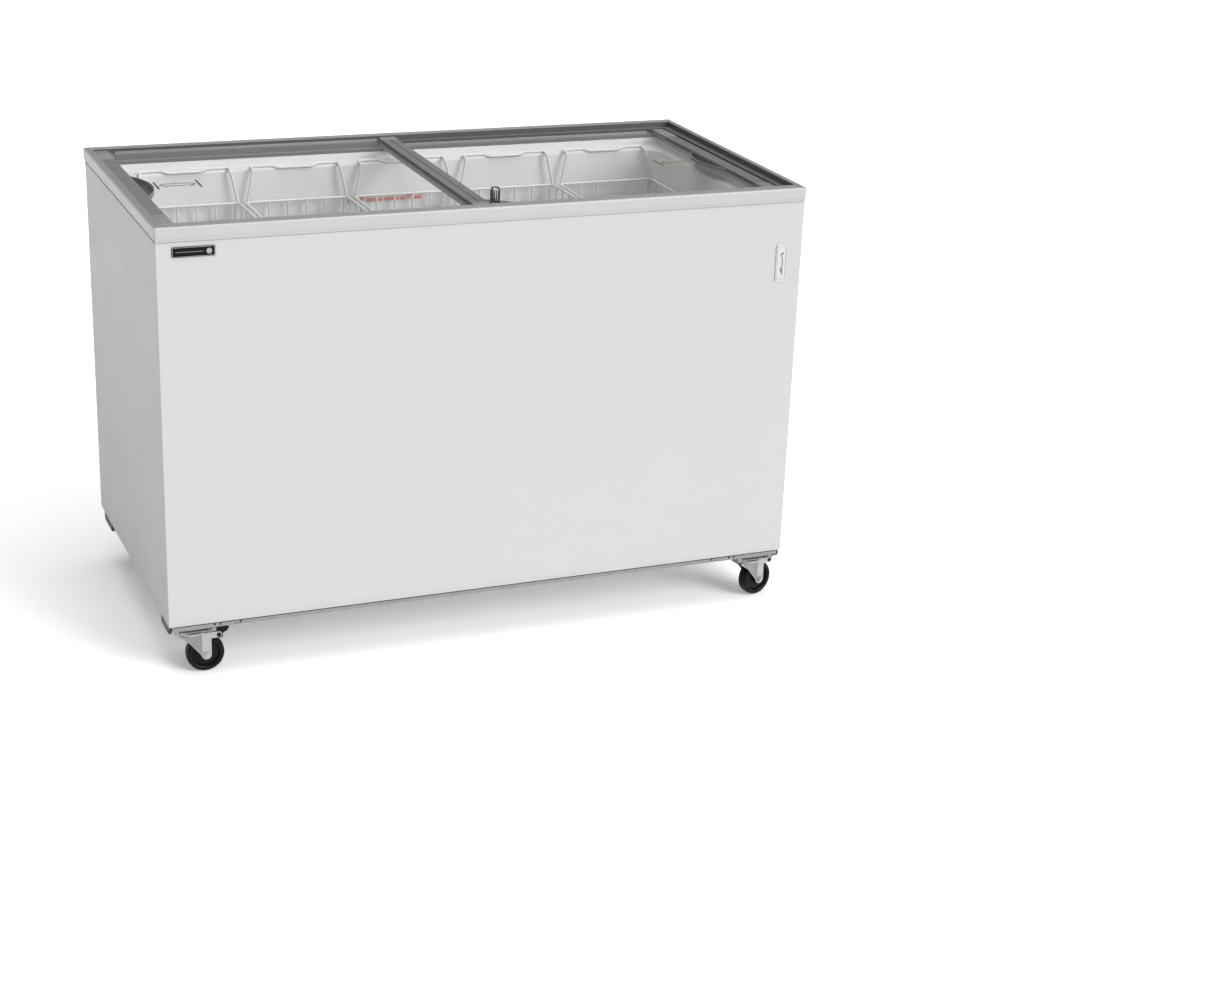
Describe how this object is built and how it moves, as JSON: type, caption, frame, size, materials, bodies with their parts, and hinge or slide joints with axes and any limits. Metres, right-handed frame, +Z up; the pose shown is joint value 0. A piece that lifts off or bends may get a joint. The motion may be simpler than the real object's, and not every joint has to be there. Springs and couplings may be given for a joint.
{
  "type": "ice cream display freezer",
  "caption": "Chest freezer for ice cream with two sliding glass lids, hanging wire baskets, a lock and swivel casters.",
  "frame": {"origin": "on the floor under the middle of the cabinet", "axes": "+X along the cabinet to its right end, +Y to its back, +Z up"},
  "size_m": [1.3167, 0.67, 0.922],
  "materials": {
    "white_sheet": "satin",
    "galvanised": "satin",
    "condenser_black": "matte",
    "compressor_black": "satin",
    "rubber": "matte",
    "white_plastic": "satin",
    "liner": "satin",
    "foam": "matte",
    "aluminium_tube": "satin",
    "copper": "satin",
    "black_plastic": "matte",
    "frame_grey": "satin",
    "badge_black": "gloss",
    "zinc": "satin",
    "lid_glass": "gloss",
    "lid_profile": "satin",
    "grip_grey": "satin",
    "lock_chrome": "polished",
    "basket_wire": "satin",
    "wheel_black": "satin"
  },
  "bodies": {
    "cabinet": {"front_panel": "white_sheet", "left_panel": "white_sheet", "right_panel": "white_sheet", "back_panel": "white_sheet", "base_pan": "galvanised", "inner_liner": "liner", "foam_insulation": "foam", "evaporator_coil": "aluminium_tube", "compressor": "compressor_black", "compressor_feet": "rubber", "condenser": "condenser_black", "fan_shroud": "black_plastic", "filter_dryer": "copper", "thermostat": "black_plastic", "rear_grille": "black_plastic", "cord_gland": "black_plastic", "drain_tube": "white_plastic", "frame_rail_front": "frame_grey", "frame_rail_back": "frame_grey", "frame_rail_left": "frame_grey", "frame_rail_right": "frame_grey", "badge_plate": "badge_black", "thermometer_bezel": "white_plastic", "thermometer_gauge": "white_plastic", "caster_brackets": "galvanised", "caster_plates": "zinc", "side_shoes": "black_plastic"},
    "upper_lid": {"upper_lid_glass": "lid_glass", "upper_lid_end_profile": "lid_profile", "upper_lid_middle_profile": "lid_profile", "upper_lid_grip": "grip_grey", "lock_base": "grip_grey", "lock_barrel": "lock_chrome"},
    "lower_lid": {"lower_lid_glass": "lid_glass", "lower_lid_end_profile": "lid_profile", "lower_lid_middle_profile": "lid_profile", "lower_lid_grip": "grip_grey"},
    "lock_plug": {"lock_plug": "lock_chrome"},
    "fan_rotor": {"fan_rotor": "black_plastic"},
    "thermostat_knob": {"thermostat_knob": "black_plastic"},
    "drain_plug": {"drain_plug": "rubber"},
    "basket_1": {"basket_1": "basket_wire"},
    "basket_2": {"basket_2": "basket_wire"},
    "basket_3": {"basket_3": "basket_wire"},
    "basket_4": {"basket_4": "basket_wire"},
    "basket_5": {"basket_5": "basket_wire"},
    "caster_fork_front_left": {"caster_fork_front_left": "zinc", "caster_axle_front_left": "zinc"},
    "caster_wheel_front_left": {"caster_wheel_front_left": "wheel_black"},
    "brake_pedal_front_left": {"brake_pedal_front_left": "wheel_black"},
    "caster_fork_front_right": {"caster_fork_front_right": "zinc", "caster_axle_front_right": "zinc"},
    "caster_wheel_front_right": {"caster_wheel_front_right": "wheel_black"},
    "brake_pedal_front_right": {"brake_pedal_front_right": "wheel_black"},
    "caster_fork_rear_left": {"caster_fork_rear_left": "zinc", "caster_axle_rear_left": "zinc"},
    "caster_wheel_rear_left": {"caster_wheel_rear_left": "wheel_black"},
    "caster_fork_rear_right": {"caster_fork_rear_right": "zinc", "caster_axle_rear_right": "zinc"},
    "caster_wheel_rear_right": {"caster_wheel_rear_right": "wheel_black"}
  },
  "joints": [
    {"name": "upper_lid_slide", "type": "slide", "parent": "cabinet", "child": "upper_lid", "axis": [1, 0, 0], "range_m": [0, 0.54]},
    {"name": "lower_lid_slide", "type": "slide", "parent": "cabinet", "child": "lower_lid", "axis": [1, 0, 0], "range_m": [-0.54, 0]},
    {"name": "lock_turn", "type": "hinge", "parent": "upper_lid", "child": "lock_plug", "pos_m": [0.007, -0.292, 0.9], "axis": [0, 0, -1], "range_deg": [0, 90]},
    {"name": "fan_spin", "type": "hinge", "parent": "cabinet", "child": "fan_rotor", "pos_m": [0.5785, -0.159, 0.223], "axis": [1, 0, 0], "continuous": true},
    {"name": "thermostat_turn", "type": "hinge", "parent": "cabinet", "child": "thermostat_knob", "pos_m": [0.56, 0.325, 0.178], "axis": [0, -1, 0], "range_deg": [0, 270]},
    {"name": "drain_plug_lift", "type": "slide", "parent": "cabinet", "child": "drain_plug", "axis": [0, 0, 1], "range_m": [0, 0.05]},
    {"name": "basket_1_lift", "type": "slide", "parent": "cabinet", "child": "basket_1", "axis": [0, 0, 1], "range_m": [0, 0.018]},
    {"name": "basket_2_lift", "type": "slide", "parent": "cabinet", "child": "basket_2", "axis": [0, 0, 1], "range_m": [0, 0.018]},
    {"name": "basket_3_lift", "type": "slide", "parent": "cabinet", "child": "basket_3", "axis": [0, 0, 1], "range_m": [0, 0.018]},
    {"name": "basket_4_lift", "type": "slide", "parent": "cabinet", "child": "basket_4", "axis": [0, 0, 1], "range_m": [0, 0.018]},
    {"name": "basket_5_lift", "type": "slide", "parent": "cabinet", "child": "basket_5", "axis": [0, 0, 1], "range_m": [0, 0.018]},
    {"name": "caster_swivel_front_left", "type": "hinge", "parent": "cabinet", "child": "caster_fork_front_left", "pos_m": [-0.595, -0.284, 0.09], "axis": [0, 0, 1], "continuous": true},
    {"name": "wheel_spin_front_left", "type": "hinge", "parent": "caster_fork_front_left", "child": "caster_wheel_front_left", "pos_m": [-0.57, -0.284, 0.0375], "axis": [0, 1, 0], "continuous": true},
    {"name": "brake_front_left", "type": "hinge", "parent": "caster_fork_front_left", "child": "brake_pedal_front_left", "pos_m": [-0.545, -0.284, 0.077], "axis": [0, 1, 0], "range_deg": [0, 12]},
    {"name": "caster_swivel_front_right", "type": "hinge", "parent": "cabinet", "child": "caster_fork_front_right", "pos_m": [0.595, -0.284, 0.09], "axis": [0, 0, 1], "continuous": true},
    {"name": "wheel_spin_front_right", "type": "hinge", "parent": "caster_fork_front_right", "child": "caster_wheel_front_right", "pos_m": [0.61903, -0.27711, 0.0375], "axis": [-0.2756, 0.9613, 0], "continuous": true},
    {"name": "brake_front_right", "type": "hinge", "parent": "caster_fork_front_right", "child": "brake_pedal_front_right", "pos_m": [0.64306, -0.27022, 0.077], "axis": [-0.2756, 0.9613, 0], "range_deg": [0, 12]},
    {"name": "caster_swivel_rear_left", "type": "hinge", "parent": "cabinet", "child": "caster_fork_rear_left", "pos_m": [-0.595, 0.284, 0.09], "axis": [0, 0, 1], "continuous": true},
    {"name": "wheel_spin_rear_left", "type": "hinge", "parent": "caster_fork_rear_left", "child": "caster_wheel_rear_left", "pos_m": [-0.57055, 0.2892, 0.0375], "axis": [-0.2079, 0.9781, 0], "continuous": true},
    {"name": "caster_swivel_rear_right", "type": "hinge", "parent": "cabinet", "child": "caster_fork_rear_right", "pos_m": [0.595, 0.284, 0.09], "axis": [0, 0, 1], "continuous": true},
    {"name": "wheel_spin_rear_right", "type": "hinge", "parent": "caster_fork_rear_right", "child": "caster_wheel_rear_right", "pos_m": [0.61878, 0.27627, 0.0375], "axis": [0.309, 0.9511, 0], "continuous": true}
  ]
}
